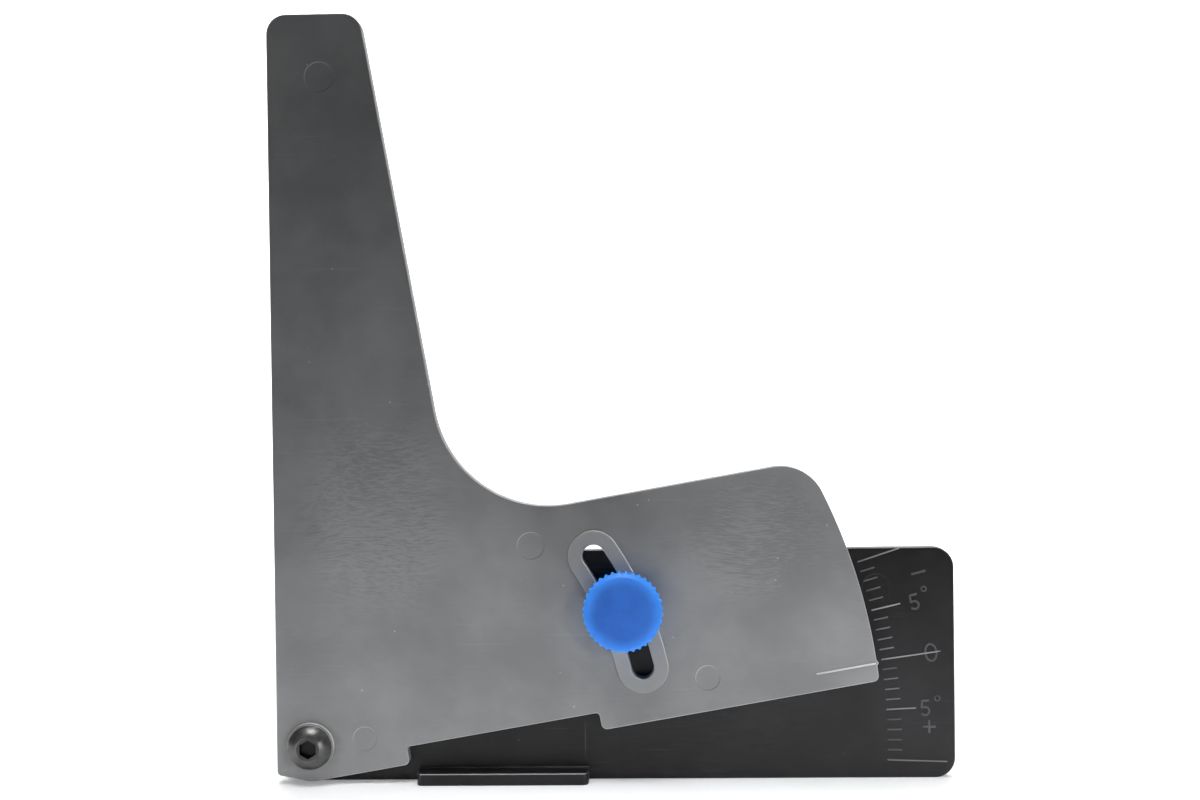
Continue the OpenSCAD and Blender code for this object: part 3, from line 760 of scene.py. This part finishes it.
def sweep(path, width, height, closed=False):
    # rings of a flat ellipse across a path in the x-z plane; an open path ends in rings that shrink
    # as a circle does
    path = np.asarray(path, float)
    if closed:
        ahead, behind = np.roll(path, -1, 0), np.roll(path, 1, 0)
        scale = np.ones(len(path))
    else:
        start, end = path[0] - path[1], path[-1] - path[-2]
        start, end = start / np.linalg.norm(start), end / np.linalg.norm(end)
        caps = np.array(roundEnd)
        share = np.concatenate([caps, np.zeros(len(path)), caps[::-1]])
        path = np.concatenate([path[0] + np.outer(caps, start) * width / 2, path,
                               path[-1] + np.outer(caps[::-1], end) * width / 2])
        scale = np.sqrt(np.maximum(1 - share ** 2, 1e-4))
        ahead = np.concatenate([path[1:], path[-1:]])
        behind = np.concatenate([path[:1], path[:-1]])
    along = ahead - behind
    along = along / np.linalg.norm(along, axis=1)[:, None]
    across = np.stack([along[:, 1], -along[:, 0]], 1)
    angle = np.arange(ridgeSides) / ridgeSides * 2 * math.pi
    flat = path[:, None] + across[:, None] * (np.cos(angle)[None, :, None] * (scale * width / 2)[:, None, None])
    rise = np.sin(angle)[None, :] * (scale * height)[:, None]
    return flat, rise, gridFaces(len(path), ridgeSides, closed, True)


def ridge(name, path, width, height, y, material, body, closed=False, crestLight=1.0):
    # a swept ridge half sunk into the face at y, in millimetres about the pivot, with a painted highlight towards
    # its crest, and painted shade there where the amount is below zero
    flat, rise, faces = sweep(path, width, height, closed)
    points = np.stack([flat[..., 0], y - rise, flat[..., 1] + pivotZ / mm], -1) * mm
    if not closed:
        faces += [list(range(ridgeSides)), list(range(rise.size - ridgeSides, rise.size))]
    finish(name, points, faces, material, body, (np.maximum(rise, 0) / height * crestLight).reshape(-1))


def circlePath(centre, radiusX, radiusZ=None, turn=0.0, steps=36):
    # a circle or an ellipse: the radii times the cosine and sine of an even run of angles
    angle = np.arange(steps) / steps * 2 * math.pi
    local = np.stack([radiusX * np.cos(angle), (radiusZ or radiusX) * np.sin(angle)], 1)
    return place(local, centre, turn)


def place(local, centre, turn):
    # turns points by an angle in degrees, then moves them to a centre
    c, s = math.cos(math.radians(turn)), math.sin(math.radians(turn))
    return np.asarray(local, float) @ np.array([[c, s], [-s, c]]) + np.asarray(centre)


fiveShares = {  # shares of the figure's width or height, and degrees round its bowl
    "bowl": 0.56, "bulge": 0.52, "from": 128, "to": -140, "bar": 0.5, "stem": -0.3, "foot": (-0.4, 0.06),
}


def fivePath(width, height, steps=14):
    # the figure 5: a bar, a stem, and a bowl that follows an ellipse round to its open end
    bowl = fiveShares["bowl"] * height
    angle = np.radians(np.linspace(fiveShares["from"], fiveShares["to"], steps))
    curve = np.stack([fiveShares["bulge"] * width * np.cos(angle),
                      bowl / 2 * np.sin(angle) - height / 2 + bowl / 2], 1)
    stem = [[fiveShares["bar"] * width, height / 2], [fiveShares["stem"] * width, height / 2],
            [fiveShares["foot"][0] * width, fiveShares["foot"][1] * height]]
    bar = np.linspace(stem[0], stem[1], 4)
    down = np.linspace(stem[1], stem[2], 5)[1:]
    return np.concatenate([bar, down, curve])


ejectorMarks = {
    # centre about the pivot, diameter in millimetres, and the strength of its painted highlight and painted shade
    "arm": [((3.55, 134.7), 5.9, 0.6), ((44.9, 40.1), 5.4, 0.6), ((80.15, 13.3), 4.9, 0.6),
            ((10.9, 1.4), 4.8, 0.4)],
    "plate": [((114.2, 30.7), 5.6, 0.06)],
    "width": 0.2, "height": 0.05, "steps": 64,
    "lit": 125.0,  # the side with a painted highlight, in degrees; the other side gets painted shade, as in a crease
}
heelCrease = {  # millimetres about the pivot
    # its crest gets a painted highlight
    "path": [(-5.9, -5.2), (-5.3, -4.75), (-4.8, -4.3)], "width": 0.14, "height": 0.05, "crestLight": 0.3,
}


def markLightAndShade(amount):
    # the amount times the cosine of the angle from the lit side: painted highlight above zero, painted shade below
    steps = ejectorMarks["steps"]
    angle = np.arange(steps) / steps * 2 * math.pi - math.radians(ejectorMarks["lit"])
    return amount * np.cos(angle)[:, None]


def makeMarks(moulding, body, material):
    # a round mark for each place where a pin pushed the moulding out of its mould
    for k, (centre, diameter, crestLight) in enumerate(ejectorMarks[moulding]):
        ridge(f"{moulding}Ejector.{k}", circlePath(centre, diameter / 2, steps=ejectorMarks["steps"]),
              ejectorMarks["width"], ejectorMarks["height"], faceY[moulding], material, body, True, markLightAndShade(crestLight))


makeMarks("arm", "arm", armPlastic)
makeMarks("plate", "base", platePlastic)
ridge("heelCrease", heelCrease["path"], heelCrease["width"], heelCrease["height"], faceY["arm"],
      armPlastic, "arm", crestLight=heelCrease["crestLight"])

scaleLines = {
    # millimetres from the pivot to a line's start, and the lengths of the lines
    "start": 116.2, "short": 3.0, "middle": 6.0, "long": 12.1, "top": 8.9, "width": 0.31, "height": 0.25,
    "zero": 8, "end": 10, "midStep": 5,  # degrees: where the zero line lies, the last line, the longer ones
    # the strength of each line's painted highlight, from 10 degrees below zero to 10 above
    "crestLight": [0.4, 0.1, 0.1, 0.12, 0.12, 0.65, 0.34, 0.36, 0.3, 0.16, 0.9,
             0.42, 0.42, 0.38, 0.32, 1.0, 0.28, 0.25, 0.28, 0.25, 0.6],
}


def makeScale(values):
    # a line for each degree from the end below to the end above the zero line, in one mesh
    points, faces, lightShadeAndWear = [], [], []
    half, end = values["width"] / 2, values["end"]
    for degree in range(-end, end + 1):
        length = values["top"] if degree == end else values["long"] if degree in (-end, 0) else \
            values["middle"] if degree % values["midStep"] == 0 else values["short"]
        angle = math.radians(values["zero"] + degree)
        radii = np.linspace(values["start"] + half, values["start"] + length - half, 5)
        path = np.stack([radii * math.cos(angle), radii * math.sin(angle)], 1)
        flat, rise, quads = sweep(path, values["width"], values["height"])
        first, count = sum(len(p) for p in points), rise.size
        line = np.stack([flat[..., 0], faceY["plate"] - rise, flat[..., 1] + pivotZ / mm], -1)
        points.append(line.reshape(-1, 3) * mm)
        faces += [[first + k for k in quad] for quad in quads]
        faces += [list(range(first, first + ridgeSides)), list(range(first + count - ridgeSides, first + count))]
        lightShadeAndWear.append((np.maximum(rise, 0) / values["height"] * values["crestLight"][degree + end]).reshape(-1))
    finish("scaleLines", np.concatenate(points), faces, platePlastic, "base", np.concatenate(lightShadeAndWear))


makeScale(scaleLines)

figures = {  # millimetres about the pivot, and degrees of turn
    # the figures' crests get a painted highlight
    "stroke": 0.46, "height": 0.17, "crestLight": 0.14,
    "zero": ((125.07, 17.57), 1.1, 1.7, 8),  # centre, half width, half height, turn
    "fiveSize": (1.6, 2.9), "fives": {"upper": ((121.76, 27.78), 13), "lower": ((123.77, 6.37), 3)},
    "rings": {"upper": (123.75, 30.4), "lower": (126.3, 8.3)},
    "ringRadius": 0.5, "ringStroke": 0.3, "ringHeight": 0.14, "ringSteps": 24,
    "signReach": 1.3, "minus": ((122.7, 33.7), 14), "plus": ((124.6, 2.6), 0),
    "rim": 0.1, "sunk": 0.1,  # the plus sign's rounded rim, and how far it stands in the face
}


def makeFigure(name, path, closed=False, style=(figures["stroke"], figures["height"])):
    # a raised figure of one stroke on the plate's face
    ridge(name, path, *style, faceY["plate"], platePlastic, "base", closed, figures["crestLight"])


def makeFigures():
    # the zero at its line, a five with its degree ring at each fifth line, and the minus sign
    makeFigure("figureZero", circlePath(*figures["zero"]), True)
    for end, (centre, turn) in figures["fives"].items():
        makeFigure(f"figureFive.{end}", place(fivePath(*figures["fiveSize"]), centre, turn))
    for end, centre in figures["rings"].items():
        circle = circlePath(centre, figures["ringRadius"], steps=figures["ringSteps"])
        makeFigure(f"degreeRing.{end}", circle, True, (figures["ringStroke"], figures["ringHeight"]))
    reach = figures["signReach"]
    bar = np.stack([np.linspace(-reach, reach, 6), np.zeros(6)], 1)
    makeFigure("minusSign", place(bar, *figures["minus"]))


def plusSign(name, centre, turn, reach):
    # a cross's outline in four rings: sunk in the face, up to its rim, and in two steps to its crest
    w, rim, top = figures["stroke"] / 2, figures["rim"], figures["height"]
    rings = []
    for inset, height in ((0, -figures["sunk"]), (0, top - rim), (rim * 0.3, top - rim * 0.3), (rim, top)):
        a, b = w - inset, reach - inset
        cross = [(b, -a), (b, a), (a, a), (a, b), (-a, b), (-a, a),
                 (-b, a), (-b, -a), (-a, -a), (-a, -b), (a, -b), (a, -a)]
        flat = place(cross, centre, turn)
        rings.append(np.stack([flat[:, 0], np.full(12, faceY["plate"] - height), flat[:, 1] + pivotZ / mm], 1))
    faces = gridFaces(4, 12, False, True)
    ends = ((0, 1, 2, 11), (3, 4, 5, 2), (6, 7, 8, 5), (9, 10, 11, 8), (2, 5, 8, 11))
    for base in (0, 36):
        faces += [[base + k for k in quad] for quad in ends]
    # the sign gets a painted highlight that grows towards its crest
    lightShadeAndWear = np.repeat([0.0, 0.5, 1.0, 1.0], 12) * figures["crestLight"]
    finish(name, np.concatenate(rings) * mm, faces, platePlastic, "base", lightShadeAndWear)


makeFigures()
plusSign("plusSign", *figures["plus"], figures["signReach"])
print("figures ready")


def threadedTip(name, values, centre, material, body):
    # the radius follows a rounded thread, root at the middle of each turn and crest between, and is cut
    # to a cone at the tip
    rows, cols = values["rows"], values["columns"]
    y = np.linspace(values["from"] - values["overlap"], values["to"], rows)[:, None]
    angle = np.arange(cols)[None, :] / cols * 2 * math.pi
    phase = (y / values["pitch"] - angle / (2 * math.pi)) % 1
    groove = np.clip((0.5 - np.abs(phase - 0.5)) * 2 * values["flank"] - values["flatShare"], 0, 1)
    radius = values["crest"] - (values["crest"] - values["root"]) * groove
    radius = np.minimum(radius, values["root"] - values["tipInset"] + (values["to"] - y))
    points = np.stack([centre[0] + radius * np.cos(angle), np.broadcast_to(y, radius.shape),
                       centre[1] + radius * np.sin(angle)], -1)
    ends = [list(range(cols)), list(range((rows - 1) * cols, rows * cols))]
    faces = gridFaces(rows, cols, False, True) + ends
    finish(name, points * mm, faces, material, body, (1 - groove).reshape(-1) * values["crestLight"])


threadedTip("pivotThread", threadTip, (0.0, pivotZ / mm), screwSteel, "base")
print("threads ready")
